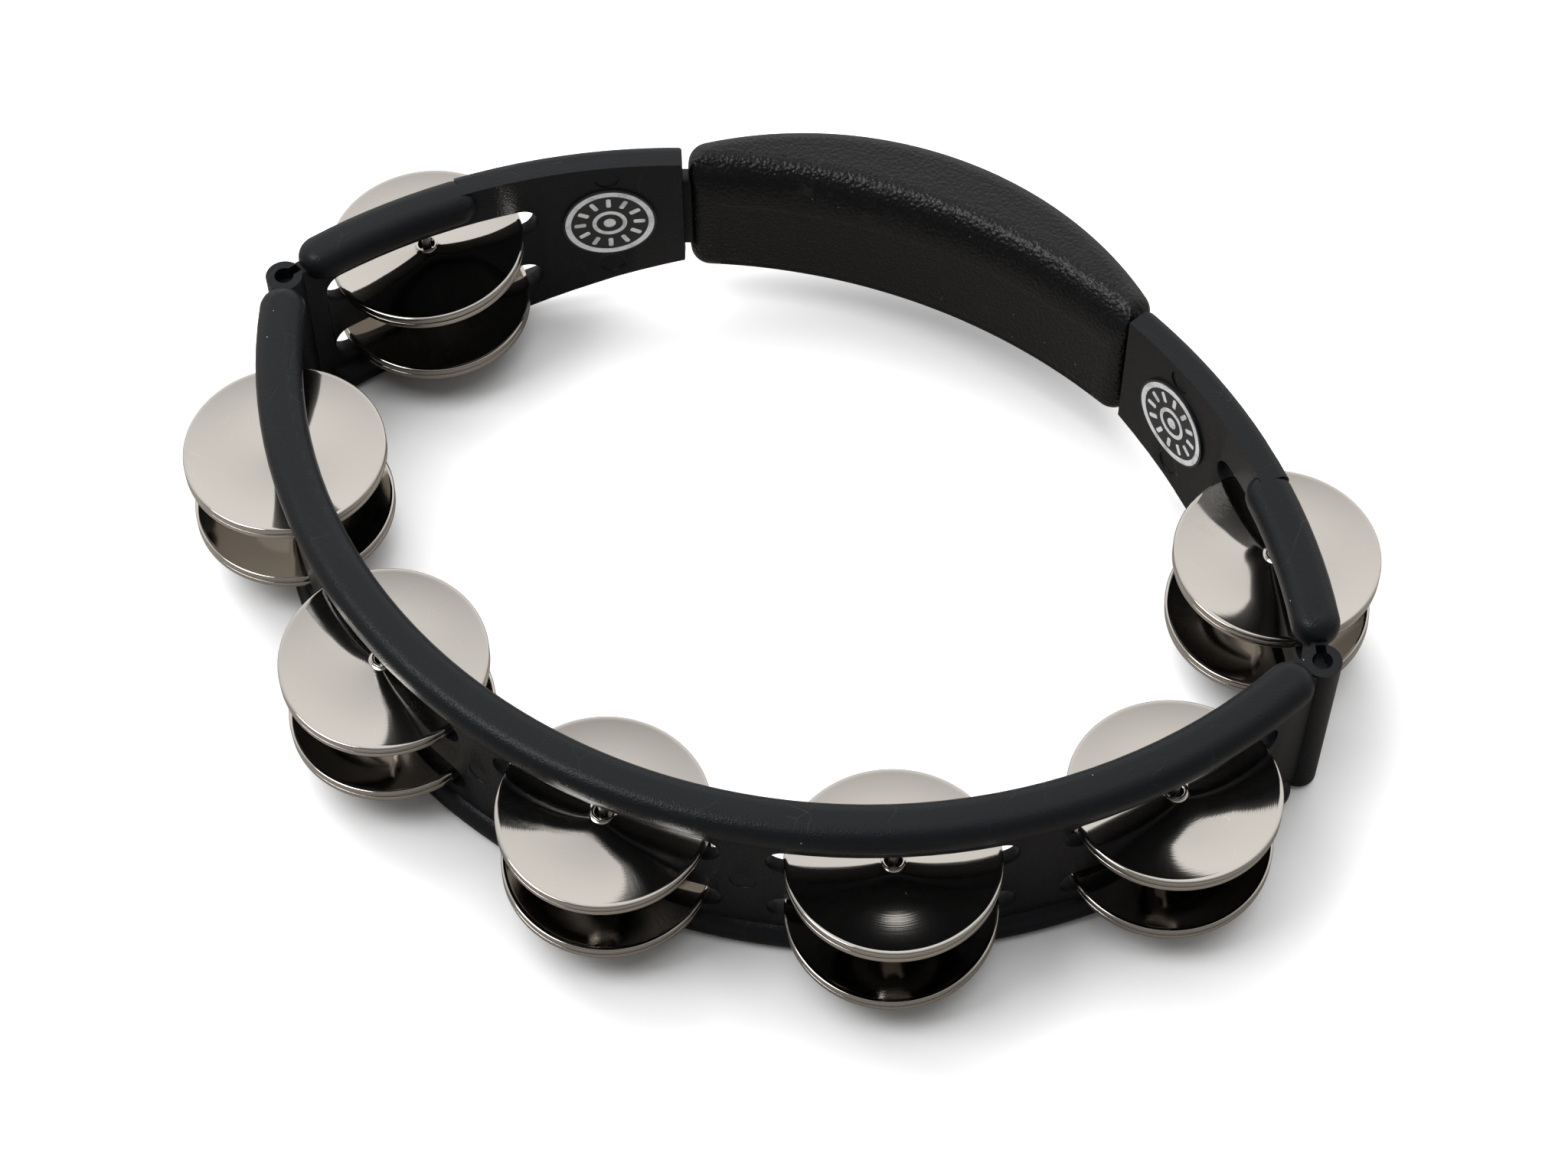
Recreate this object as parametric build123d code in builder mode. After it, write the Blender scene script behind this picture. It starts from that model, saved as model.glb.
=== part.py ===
"""Headless hand tambourine with seven jingle stations.

All sizes are millimetres. X runs to the right, Y runs from the striking side (the front) to the
grip, and Z points up. The origin is under the middle of the object, on the table.
The ring is two moulded bows: a front bow with five stations, and a back bow with two stations
and the grip. At the left and right corners a bead on the back bow slides down into a slotted
column on the front bow.
"""
import os
from math import atan2, cos, degrees, radians, sin, sqrt

from build123d import *

os.makedirs("parts", exist_ok=True)

# ---- driving dimensions -------------------------------------------------------------------
HEIGHT = 56.0                 # full height of both bows
EASE = 0.05                   # running gap between the two bows where they join

FRONT_CENTRE_Y = 55.8         # centre of the front bow's arc
FRONT_RADIUS = 147.8          # from there to its jingle pins
RAIL_INSET = 1.2              # how far its rails lie inside its jingle pins
BACK_CENTRE_Y = -59.2         # centre of the back bow's arc
BACK_RADIUS = 155.5           # from there to its jingle pins

WEB = 4.0                     # thin wall between the two rails
WEB_LEVELS = (4.0, 52.0)
RAIL_WIDTH = 11.7             # rounded rails along the top and the bottom of the wall
RAIL_HEIGHT = 9.0
RAIL_ROUND = 4.1
RAIL_GAP_FRONT = 4.5          # from a column's middle to the tip of the front rails
RAIL_GAP_BACK = 5.4           # and to the tip of the back rails, which clear the column

SLOT_LENGTH = 59.0            # jingle slots, straight across their round ends
SLOT_HEIGHT = 9.2
SLOT_DEPTH = 24.0             # more than a rail's width, so a slot is open on both sides
SLOT_LEVELS = (17.4, 39.0)    # middle heights of the lower and the upper row of slots

FRONT_STATIONS = (-53.9, -26.95, 0.0, 26.95, 53.9)   # degrees from the front
BACK_STATION = 49.4                                  # degrees from the grip, on either side

JINGLE_RADIUS = 25.5          # two-inch jingles
JINGLE_SHEET = 0.45
JINGLE_FLANGE = 0.6           # narrow flat ring inside the rim
JINGLE_SKIRT = 1.75           # depth of the turned-down rim
JINGLE_VALLEY = 1.3           # depth of the round valley between the rim and the collar
VALLEY_RADIUS = 14.5          # the valley is deepest here
COLLAR_INNER = 2.2
COLLAR_OUTER = 2.9
COLLAR_STEP = 0.35            # how far the collar stands above the cone round it
LEVEL = (1, 0)                # directions of the curves in a jingle's section, going outwards
CONE = (1, -0.06)
BANK = (1, 0.25)
LEVEL_BACK = (-1, 0)          # and coming back along the underside
CONE_BACK = (-1, 0.06)
BANK_BACK = (-1, -0.25)
PAIR_GAP = 0.25               # between the two rims of a pair
PAIR_LIFT = 1.25              # from the floor of a slot to the lower rim of a pair

PIN_RADIUS = 1.2              # jingle pins
PIN_LEVELS = (1.0, 51.0)

COLUMN_RADIUS = 4.7           # slotted column on the front bow where the two bows meet
COLUMN_LEVELS = (2.0, 52.5)
BEAD_RADIUS = 2.4             # bead on the back bow, inside the column
BEAD_LEVELS = (2.0, 48.5)     # it stops short of the column's mouth
NECK = 2.4                    # thin wall between the bead and the back bow

WALL_OUTER_RADIUS = 161.3     # outside of the back bow beside the grip
WALL_FROM = 24.0              # degrees from the grip's middle to the end of a side wall
WALL_TO = 45.5                # degrees to where the side wall has become two rounded rails
RAIL_FROM = 44.0              # degrees to where the inner half of the rounded rails begins
FOOT_FLAT_X = 112.0           # the lower edge leaves the table here
FOOT_HIGH_X = 62.0            # and has risen this much where it meets the grip
FOOT_RISE = 17.5
WALL_ROUND = 3.0

BADGE_ANGLE = 31.3
BADGE_LEVEL = 35.0
BADGE_HALF_WIDTH = 12.4
BADGE_HALF_HEIGHT = 12.6
BADGE_THICKNESS = 0.6
MARK_RADIUS = 3.2             # shallow round ejector marks
MARK_DEPTH = 0.3
FRONT_MARK = 13.4             # degrees from the front
WALL_MARK_LEVELS = (17.6, 51.6)

GRIP_ANGLE = 23.5             # half of the angle that the grip takes up
GRIP_LEVELS = (13.0, 54.0)
GRIP_INNER_RADIUS = 153.3
GRIP_OUTER_RADIUS = 97.0      # the outside of the grip bulges on a tighter arc
GRIP_OUTER_CENTRE_Y = 20.5
GRIP_ROUND = 5.4
CORE_RADII = (156.5, 161.3)   # the bar of the back bow that carries the grip
CORE_LEVELS = (21.0, 46.0)
CORE_BLOCK_TO = 28.0          # degrees to where its thick end inside the side wall stops

# How each pair of jingles lies: outer edge raised, then leaning sideways, in degrees.
UPPER_TILTS = ((-1.5, -2.2), (0.4, -0.2), (-1.3, -1.6), (-1.6, -1.1), (3.2, 0.1), (1.7, -0.9), (0.4, -0.4))
LOWER_TILTS = ((0.3, 1.0), (0.7, 0.7), (-0.6, 1.5), (-0.5, -1.6), (-2.5, 1.3), (-1.8, 2.2), (3.2, -1.3))

# ---- values worked out from them ----------------------------------------------------------
centre_gap = FRONT_CENTRE_Y - BACK_CENTRE_Y
square_gap = BACK_RADIUS**2 - FRONT_RADIUS**2 + FRONT_CENTRE_Y**2 - BACK_CENTRE_Y**2
CORNER_Y = square_gap / (2 * centre_gap)
CORNER_X = sqrt(FRONT_RADIUS**2 - (CORNER_Y - FRONT_CENTRE_Y)**2)
FRONT_CORNER = degrees(atan2(CORNER_X, FRONT_CENTRE_Y - CORNER_Y))
BACK_CORNER = degrees(atan2(CORNER_X, CORNER_Y - BACK_CENTRE_Y))
FRONT_INNER = FRONT_RADIUS - WEB / 2
FRONT_OUTER = FRONT_RADIUS + WEB / 2
BACK_INNER = BACK_RADIUS - WEB / 2
BACK_OUTER = BACK_RADIUS + WEB / 2
SIDES = (-1, 1)


def polar(centre_y, radius, heading):
    """Point at a radius and a heading (degrees from +X) round a centre on the Y axis."""
    return radius * cos(radians(heading)), centre_y + radius * sin(radians(heading))


def arc_angle(length, radius):
    """Angle in degrees that a length takes up along an arc."""
    return degrees(length / radius)


def sector(centre_y, inner, outer, first, last):
    """Ring sector between two radii and two headings, as a flat sketch."""
    with BuildSketch() as shape:
        with BuildLine():
            CenterArc((0, centre_y), inner, first, last - first)
            CenterArc((0, centre_y), outer, first, last - first)
            Line(polar(centre_y, inner, first), polar(centre_y, outer, first))
            Line(polar(centre_y, inner, last), polar(centre_y, outer, last))
        make_face()
    return shape.sketch


def rail(centre_y, radius, first, last):
    """Rail with round ends, whose tips are at the two headings, as a flat sketch."""
    end = arc_angle(RAIL_WIDTH / 2, radius)
    sweep = last - first - 2 * end
    with BuildSketch() as shape:
        line = CenterArc((0, centre_y), radius, first + end, sweep, mode=Mode.PRIVATE)
        SlotArc(line, RAIL_WIDTH)
    return shape.sketch


def discs(places, radius):
    """A round at each place, as a flat sketch."""
    with BuildSketch() as shape:
        with Locations(*places):
            Circle(radius)
    return shape.sketch


def upright(x, y, heading, level):
    """Plane standing on a point, with its normal along a heading and its own Y axis up."""
    facing = (cos(radians(heading)), sin(radians(heading)), 0)
    across = (-sin(radians(heading)), cos(radians(heading)), 0)
    return Plane(origin=(x, y, level), x_dir=across, z_dir=facing)


def raise_up(shape, levels, mode=Mode.ADD):
    """Extrude a flat sketch from one level to another in the part that is being made."""
    with BuildSketch(Plane.XY.offset(levels[0])) as lifted:
        add(shape)
    extrude(lifted.sketch, amount=levels[1] - levels[0], mode=mode)


def neck(corner, ease):
    """Thin wall from a corner's heading out past the column, with some ease, as a flat sketch."""
    reach = arc_angle(COLUMN_RADIUS + WEB, BACK_RADIUS)
    inner = BACK_RADIUS - NECK / 2 - ease
    outer = BACK_RADIUS + NECK / 2 + ease
    towards_grip = 1 if corner < 90 else -1
    return sector(BACK_CENTRE_Y, inner, outer, corner, corner + towards_grip * reach)


def jingle_slots(stations):
    """Cut both rows of slots at these stations, through the wall along each outward line."""
    for x, y, heading in stations:
        for level in SLOT_LEVELS:
            with BuildSketch(upright(x, y, heading, level)) as opening:
                SlotOverall(SLOT_LENGTH, SLOT_HEIGHT)
            extrude(opening.sketch, amount=SLOT_DEPTH / 2, both=True, mode=Mode.SUBTRACT)


def marks(centre_y, radius, headings, levels):
    """Cut shallow round marks into the face of a wall."""
    for heading in headings:
        for level in levels:
            place = polar(centre_y, radius, heading)
            with BuildSketch(upright(*place, heading, level)) as round_mark:
                Circle(MARK_RADIUS)
            extrude(round_mark.sketch, amount=MARK_DEPTH, both=True, mode=Mode.SUBTRACT)


# Each station is (x, y, heading of its outward line). Station 1 is at the grip's left, and
# they run round the front to station 7 at the grip's right.
FRONT_PLACES = []
for station in FRONT_STATIONS:
    FRONT_PLACES.append((*polar(FRONT_CENTRE_Y, FRONT_RADIUS, station - 90), station - 90))
BACK_PLACES = []
for side in SIDES:
    heading = 90 - side * BACK_STATION
    BACK_PLACES.append((*polar(BACK_CENTRE_Y, BACK_RADIUS, heading), heading))
STATIONS = [BACK_PLACES[0], *FRONT_PLACES, BACK_PLACES[1]]
FRONT_PIN_PLACES = [(x, y) for x, y, heading in FRONT_PLACES]
BACK_PIN_PLACES = [(x, y) for x, y, heading in BACK_PLACES]
CORNER_PLACES = [(-CORNER_X, CORNER_Y), (CORNER_X, CORNER_Y)]

# ---- front bow ----------------------------------------------------------------------------
RAIL_LEVELS = ((0, RAIL_HEIGHT), (HEIGHT - RAIL_HEIGHT, HEIGHT))
with BuildPart() as front_bow:
    tip = FRONT_CORNER - arc_angle(RAIL_GAP_FRONT, FRONT_RADIUS)
    for levels in RAIL_LEVELS:
        raise_up(rail(FRONT_CENTRE_Y, FRONT_RADIUS - RAIL_INSET, -90 - tip, -90 + tip), levels)
    fillet(front_bow.edges().filter_by(Axis.Z, reverse=True), RAIL_ROUND)
    web = sector(FRONT_CENTRE_Y, FRONT_INNER, FRONT_OUTER, -90 - FRONT_CORNER, -90 + FRONT_CORNER)
    raise_up(web, WEB_LEVELS)
    raise_up(discs(CORNER_PLACES, COLUMN_RADIUS), COLUMN_LEVELS)
    raise_up(discs(CORNER_PLACES, BEAD_RADIUS + EASE), (0, HEIGHT), Mode.SUBTRACT)
    for corner in (90 - BACK_CORNER, 90 + BACK_CORNER):
        raise_up(neck(corner, EASE), (0, HEIGHT), Mode.SUBTRACT)
    jingle_slots(FRONT_PLACES)
    raise_up(discs(FRONT_PIN_PLACES, PIN_RADIUS), (0, PIN_LEVELS[1]), Mode.SUBTRACT)
    marks(FRONT_CENTRE_Y, FRONT_OUTER, (-90 - FRONT_MARK, -90 + FRONT_MARK), (HEIGHT / 2,))
front_bow.part.label = "front_bow"
export_step(front_bow.part, "parts/front_bow.step")

# ---- back bow -----------------------------------------------------------------------------
# Its side walls are channels, open to the outside, whose foot rises towards the grip.
slope = (FOOT_RISE, 0, FOOT_FLAT_X - FOOT_HIGH_X)
flange = sector(BACK_CENTRE_Y, BACK_INNER, WALL_OUTER_RADIUS, 90 - WALL_TO, 90 - WALL_FROM)
with BuildPart() as side_wall:
    raise_up(flange, (0, RAIL_HEIGHT + FOOT_RISE))
    split(bisect_by=Plane(origin=(FOOT_FLAT_X, 0, RAIL_HEIGHT), z_dir=slope), keep=Keep.BOTTOM)
    raise_up(flange, RAIL_LEVELS[1])
    wall = sector(BACK_CENTRE_Y, BACK_INNER, BACK_OUTER, 90 - WALL_TO, 90 - WALL_FROM)
    raise_up(wall, (0, HEIGHT))
    split(bisect_by=Plane(origin=(FOOT_FLAT_X, 0, 0), z_dir=slope), keep=Keep.TOP)
    outer_faces = side_wall.faces().filter_by(GeomType.CYLINDER).sort_by(SortBy.RADIUS)[-2:]
    outer_edges = [edge for face in outer_faces for edge in face.edges()]
    fillet([edge for edge in outer_edges if edge.center().X < FOOT_FLAT_X], WALL_ROUND)

with BuildPart() as back_bow:
    tip = 90 - BACK_CORNER + arc_angle(RAIL_GAP_BACK, BACK_RADIUS)
    for levels in RAIL_LEVELS:
        raise_up(rail(BACK_CENTRE_Y, BACK_RADIUS, tip, 90 - RAIL_FROM), levels)
    fillet(back_bow.edges().filter_by(Axis.Z, reverse=True), RAIL_ROUND)
    web = sector(BACK_CENTRE_Y, BACK_INNER, BACK_OUTER, 90 - BACK_CORNER, 90 - RAIL_FROM)
    raise_up(web, WEB_LEVELS)
    raise_up(discs(CORNER_PLACES, COLUMN_RADIUS + EASE), (0, HEIGHT), Mode.SUBTRACT)
    raise_up(discs(CORNER_PLACES[1:], BEAD_RADIUS), BEAD_LEVELS)
    raise_up(neck(90 - BACK_CORNER, 0), (WEB_LEVELS[0], BEAD_LEVELS[1]))
    add(side_wall.part)
    bar = sector(BACK_CENTRE_Y, *CORE_RADII, 90 - WALL_FROM, 90)
    raise_up(bar, CORE_LEVELS)
    block = sector(BACK_CENTRE_Y, BACK_INNER, WALL_OUTER_RADIUS, 90 - CORE_BLOCK_TO, 90 - WALL_FROM)
    raise_up(block, CORE_LEVELS)
    mirror(about=Plane.YZ)
    jingle_slots(BACK_PLACES)
    raise_up(discs(BACK_PIN_PLACES, PIN_RADIUS), (0, PIN_LEVELS[1]), Mode.SUBTRACT)
    marks(BACK_CENTRE_Y, BACK_INNER, (90 - BADGE_ANGLE, 90 + BADGE_ANGLE), WALL_MARK_LEVELS)
back_bow.part.label = "back_bow"
export_step(back_bow.part, "parts/back_bow.step")

# ---- grip ---------------------------------------------------------------------------------
# Its inner face follows the back bow, its outer face bulges, and its ends lie on radial lines.
end_heading = radians(90 - GRIP_ANGLE)
along = GRIP_OUTER_CENTRE_Y - BACK_CENTRE_Y
GRIP_END_RADIUS = along * sin(end_heading) + sqrt(GRIP_OUTER_RADIUS**2 - (along * cos(end_heading))**2)
with BuildPart() as grip_cover:
    with BuildSketch(Plane.XY.offset(GRIP_LEVELS[0])):
        with BuildLine():
            inner_arc = CenterArc((0, BACK_CENTRE_Y), GRIP_INNER_RADIUS, 90 - GRIP_ANGLE, 2 * GRIP_ANGLE)
            right_end = Line(inner_arc @ 0, polar(BACK_CENTRE_Y, GRIP_END_RADIUS, 90 - GRIP_ANGLE))
            left_end = Line(inner_arc @ 1, polar(BACK_CENTRE_Y, GRIP_END_RADIUS, 90 + GRIP_ANGLE))
            crown = (0, GRIP_OUTER_CENTRE_Y + GRIP_OUTER_RADIUS)
            ThreePointArc(right_end @ 1, crown, left_end @ 1)
        make_face()
    extrude(amount=GRIP_LEVELS[1] - GRIP_LEVELS[0])
    fillet(grip_cover.edges().filter_by(Axis.Z), GRIP_ROUND)
    fillet(grip_cover.edges().filter_by(Axis.Z, reverse=True), GRIP_ROUND)
    bar = sector(BACK_CENTRE_Y, *CORE_RADII, 90 - WALL_TO, 90 + WALL_TO)
    raise_up(bar, CORE_LEVELS, Mode.SUBTRACT)
grip_cover.part.label = "grip_cover"
export_step(grip_cover.part, "parts/grip_cover.step")

# ---- badges, pins -------------------------------------------------------------------------
for side, name in zip(SIDES, ("left", "right")):
    heading = 90 - side * BADGE_ANGLE
    place = polar(BACK_CENTRE_Y, BACK_INNER, heading)
    with BuildPart() as badge:
        with BuildSketch(upright(*place, heading, BADGE_LEVEL)):
            Ellipse(BADGE_HALF_WIDTH, BADGE_HALF_HEIGHT)
        extrude(amount=WEB, both=True)
        skin = sector(BACK_CENTRE_Y, BACK_INNER - BADGE_THICKNESS, BACK_INNER, heading - 9, heading + 9)
        raise_up(skin, (0, HEIGHT), Mode.INTERSECT)
    badge.part.label = f"badge_{name}"
    export_step(badge.part, f"parts/badge_{name}.step")

for number, (x, y, heading) in enumerate(STATIONS, start=1):
    with BuildPart() as jingle_pin:
        raise_up(discs([(x, y)], PIN_RADIUS), PIN_LEVELS)
        chamfer(jingle_pin.edges(), 0.25)
    jingle_pin.part.label = f"jingle_pin_{number}"
    export_step(jingle_pin.part, f"parts/jingle_pin_{number}.step")

# ---- jingles ------------------------------------------------------------------------------
# Half section of one jingle. Its rim's flat flange lies on Z = 0 with the skirt turned down
# from it, and the collar round the hole comes back up to the same height.
under = -JINGLE_SHEET
floor = -JINGLE_VALLEY
flange_x = JINGLE_RADIUS - JINGLE_FLANGE
skirt_x = JINGLE_RADIUS - JINGLE_SHEET
with BuildSketch(Plane.XZ) as jingle_section:
    with BuildLine():
        collar = Polyline(
            (COLLAR_OUTER, -COLLAR_STEP + under),
            (COLLAR_INNER, -COLLAR_STEP + under),
            (COLLAR_INNER, 0),
            (COLLAR_OUTER, 0),
            (COLLAR_OUTER, -COLLAR_STEP),
        )
        Spline(collar @ 1, (VALLEY_RADIUS, floor), tangents=(CONE, LEVEL))
        Spline((VALLEY_RADIUS, floor), (flange_x, 0), tangents=(LEVEL, BANK))
        Polyline(
            (flange_x, 0),
            (JINGLE_RADIUS, 0),
            (JINGLE_RADIUS, -JINGLE_SKIRT),
            (skirt_x, -JINGLE_SKIRT),
            (skirt_x, under),
            (flange_x, under),
        )
        Spline((flange_x, under), (VALLEY_RADIUS, floor + under), tangents=(BANK_BACK, LEVEL_BACK))
        Spline((VALLEY_RADIUS, floor + under), collar @ 0, tangents=(LEVEL_BACK, CONE_BACK))
    make_face()

ROWS = (("lower", SLOT_LEVELS[0], LOWER_TILTS), ("upper", SLOT_LEVELS[1], UPPER_TILTS))
HALVES = (("bottom", -1), ("top", 1))
half_pair = PAIR_GAP / 2 + JINGLE_SKIRT
for row, slot_level, tilts in ROWS:
    pair_level = slot_level - SLOT_HEIGHT / 2 + PAIR_LIFT + half_pair
    for number, (x, y, heading) in enumerate(STATIONS, start=1):
        raised, leaning = tilts[number - 1]
        tilt = Location((0, 0, 0), (leaning, -raised, 0))
        pair_place = Location((x, y, pair_level), (0, 0, heading)) * tilt
        for half, side in HALVES:
            facing = Plane(origin=(0, 0, side * half_pair), z_dir=(0, 0, side))
            with BuildPart() as jingle:
                add(jingle_section.sketch)
                revolve(axis=Axis.Z)
            jingle.part = jingle.part.moved(pair_place * facing.location)
            jingle.part.label = f"jingle_{number}_{row}_{half}"
            export_step(jingle.part, f"parts/jingle_{number}_{row}_{half}.step")
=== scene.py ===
# %% [markdown]
# # A headless hand tambourine
# The ring is two moulded bows with a rubber grip at the back. Pairs of nickel-plated jingles
# hang loose on upright pins in slots through the bows. The CAD model is the fixed frame: it
# gives every place and size, and this lesson adds the finished surfaces to it.

# %% Load the frame
from math import cos, hypot, pi, radians, sin

import bmesh
import bpy
import numpy
from mathutils import Matrix, Vector


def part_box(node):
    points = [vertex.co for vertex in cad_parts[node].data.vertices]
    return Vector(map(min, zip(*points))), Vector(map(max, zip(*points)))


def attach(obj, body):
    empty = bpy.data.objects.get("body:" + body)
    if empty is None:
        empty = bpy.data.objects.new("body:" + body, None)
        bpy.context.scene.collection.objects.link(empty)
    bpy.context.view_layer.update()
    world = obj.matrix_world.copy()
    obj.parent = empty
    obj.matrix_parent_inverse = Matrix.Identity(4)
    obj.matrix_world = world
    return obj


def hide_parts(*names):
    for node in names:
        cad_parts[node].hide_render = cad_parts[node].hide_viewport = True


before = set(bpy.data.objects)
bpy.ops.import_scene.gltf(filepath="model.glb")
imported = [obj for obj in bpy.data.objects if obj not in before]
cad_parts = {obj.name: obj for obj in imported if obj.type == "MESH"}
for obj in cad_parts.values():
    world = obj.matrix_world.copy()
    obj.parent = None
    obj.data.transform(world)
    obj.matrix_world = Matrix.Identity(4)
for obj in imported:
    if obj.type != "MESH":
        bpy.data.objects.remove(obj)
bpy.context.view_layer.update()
MM = 0.001


# %% [markdown]
# ## Helpers
# Operators act on everything that is selected, and the frame arrives selected. So every step
# starts from nothing selected, and then picks the one object that it works on.

# %% Selecting
def only(piece):
    """Select this object and nothing else, and make it the active one."""
    if bpy.context.object and bpy.context.object.mode != "OBJECT":
        bpy.ops.object.mode_set(mode="OBJECT")
    bpy.ops.object.select_all(action="DESELECT")
    piece.select_set(True)
    bpy.context.view_layer.objects.active = piece


def welded_copy(node, name):
    """A copy of a CAD node's mesh with its loose triangles joined, as an object of its own."""
    piece = bpy.data.objects.new(name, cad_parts[node].data.copy())
    bpy.context.scene.collection.objects.link(piece)
    only(piece)
    bpy.ops.object.mode_set(mode="EDIT")
    bpy.ops.mesh.select_all(action="SELECT")
    bpy.ops.mesh.remove_doubles(threshold=0.01 * MM)
    bpy.ops.object.mode_set(mode="OBJECT")
    piece.data.materials.clear()
    return piece


def triangles(piece):
    """How many triangles a mesh object has."""
    return sum(len(face.vertices) - 2 for face in piece.data.polygons)


def apply_modifier(piece, kind, **settings):
    """Add a modifier, set it, and apply it."""
    only(piece)
    modifier = piece.modifiers.new(kind.title(), kind)
    for key, value in settings.items():
        setattr(modifier, key, value)
    bpy.ops.object.modifier_apply(modifier=modifier.name)


# %% [markdown]
# ## Camera
# The tambourine is seen from the front right and from well above. A long lens, more than 0.8 m
# away, keeps the ring's shape true. A camera can be aimed by typing in its rotation. Here it is
# worked out from an azimuth, an elevation and a point to look at, which are easier to judge and
# to change.

# %% Camera
CAMERA_AIM = Vector((0.0123, -0.0177, 0.0394))
CAMERA_AZIMUTH = radians(24.97)
CAMERA_ELEVATION = radians(56.16)
CAMERA_ROLL = radians(-0.32)
CAMERA_DISTANCE = 0.8285
CAMERA_LENS = 78.04

looking = Vector(
    (
        -sin(CAMERA_AZIMUTH) * cos(CAMERA_ELEVATION),
        cos(CAMERA_AZIMUTH) * cos(CAMERA_ELEVATION),
        -sin(CAMERA_ELEVATION),
    )
)
bpy.ops.object.select_all(action="DESELECT")
bpy.ops.object.camera_add(location=CAMERA_AIM - looking * CAMERA_DISTANCE)
camera = bpy.context.object
camera.rotation_mode = "QUATERNION"
roll = Matrix.Rotation(CAMERA_ROLL, 3, "Z").to_quaternion()
camera.rotation_quaternion = looking.to_track_quat("-Z", "Y") @ roll
camera.data.lens = CAMERA_LENS
camera.data.sensor_width = 36
camera.data.clip_end = 20
bpy.context.scene.camera = camera
bpy.context.scene.view_settings.view_transform = "Standard"
print("camera at", [round(c, 3) for c in camera.location])


# %% [markdown]
# ## Floor
# The tambourine lies on white paper. The paper looks white to the eye, but a reflection of it is
# dimmed, as a photographer dims it with black card round the set. Otherwise the black plastic
# would turn grey all over. The Light Path node tells which rays are reflections.

# %% Floor
PAPER_SEEN = (0.93, 0.93, 0.935)
PAPER_MIRRORED = (0.2, 0.185, 0.165)


def principled(name):
    """A new material and its Principled shader."""
    material = bpy.data.materials.new(name)
    material.use_nodes = True
    return material, material.node_tree.nodes["Principled BSDF"]


bpy.ops.object.select_all(action="DESELECT")
bpy.ops.mesh.primitive_plane_add(size=12)
table = bpy.context.object
table.name = "table"
paper, paper_shader = principled("white paper")
paper_shader.inputs["Roughness"].default_value = 0.9
rays = paper.node_tree.nodes.new("ShaderNodeLightPath")
shade = paper.node_tree.nodes.new("ShaderNodeMix")
shade.data_type = "RGBA"
shade.inputs[6].default_value = (*PAPER_SEEN, 1)
shade.inputs[7].default_value = (*PAPER_MIRRORED, 1)
paper.node_tree.links.new(rays.outputs["Is Glossy Ray"], shade.inputs[0])
paper.node_tree.links.new(shade.outputs[2], paper_shader.inputs["Base Color"])
table.data.materials.append(paper)
print("floor:", table.name, "with", paper.name)

# %% [markdown]
# ## Light
# The light is a white tent, and the world background stands for it: bright behind, half as
# bright overhead, and dim in front, where the tent is open. The polished jingles mirror all of
# it, and that contrast is what makes them read as metal. Area lamps could do it all, but their
# square edges would show in the metal. So the two big lamps, which cast the shadows, are kept
# out of reflections. A smaller one is seen in them, and puts the shine on the grip's shoulder.

# %% Light tent
TENT_BRIGHT = 1.16
TENT_DIM = 0.2
DIM_FROM = -0.9                        # how far a direction points to the open side, -1 to 1
DIM_TO = 0.65
OPEN_SIDE = radians(24.9)
world = bpy.data.worlds.new("light tent")
bpy.context.scene.world = world
world.use_nodes = True
tent = world.node_tree
towards = tent.nodes.new("ShaderNodeTexCoord")
facing = tent.nodes.new("ShaderNodeVectorMath")
facing.operation = "DOT_PRODUCT"
facing.inputs[1].default_value = (sin(OPEN_SIDE), -cos(OPEN_SIDE), 0)
ramp = tent.nodes.new("ShaderNodeMapRange")
ramp.interpolation_type = "SMOOTHSTEP"
ramp.inputs["From Min"].default_value = DIM_FROM
ramp.inputs["From Max"].default_value = DIM_TO
ramp.inputs["To Min"].default_value = TENT_BRIGHT
ramp.inputs["To Max"].default_value = TENT_DIM
tent.links.new(towards.outputs["Generated"], facing.inputs[0])
tent.links.new(facing.outputs["Value"], ramp.inputs["Value"])
tent.links.new(ramp.outputs["Result"], tent.nodes["Background"].inputs["Strength"])
tent.nodes["Background"].inputs["Color"].default_value = (1, 0.99, 0.975, 1)
print("tent strength from", TENT_BRIGHT, "to", TENT_DIM)


# %% Lamps
def softbox(name, place, size, power, in_reflections):
    """A square soft lamp that points at the tambourine, and may be kept out of reflections."""
    bpy.ops.object.select_all(action="DESELECT")
    bpy.ops.object.light_add(type="AREA", location=place)
    lamp = bpy.context.object
    lamp.name = name
    lamp.data.size = size
    lamp.data.energy = power
    lamp.rotation_euler = (-Vector(place)).to_track_quat("-Z", "Y").to_euler()
    lamp.visible_glossy = in_reflections


softbox("key lamp", (-1.0, 0.8, 1.5), size=1.6, power=38, in_reflections=False)
softbox("overhead lamp", (0.1, 0.1, 1.9), size=1.6, power=20, in_reflections=False)
softbox("shoulder lamp", (-0.75, -0.62, 1.6), size=0.75, power=14, in_reflections=True)


# %% [markdown]
# ## Shared surface effects
# Four small node groups serve the materials. Each one puts out a number that changes over the
# surface: the height of a moulded grain, a mask of rubbed marks, a mask of dust specks, and a
# mask of fine scratches. Painted textures could show the same, but they need UV maps and fixed
# sizes. These read Object coordinates, in metres, so a size in mm becomes a texture scale by
# dividing 1000 by it.

# %% Node helpers
def link(tree, source, target):
    """Join an output socket to an input socket."""
    tree.links.new(source, target)


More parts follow.
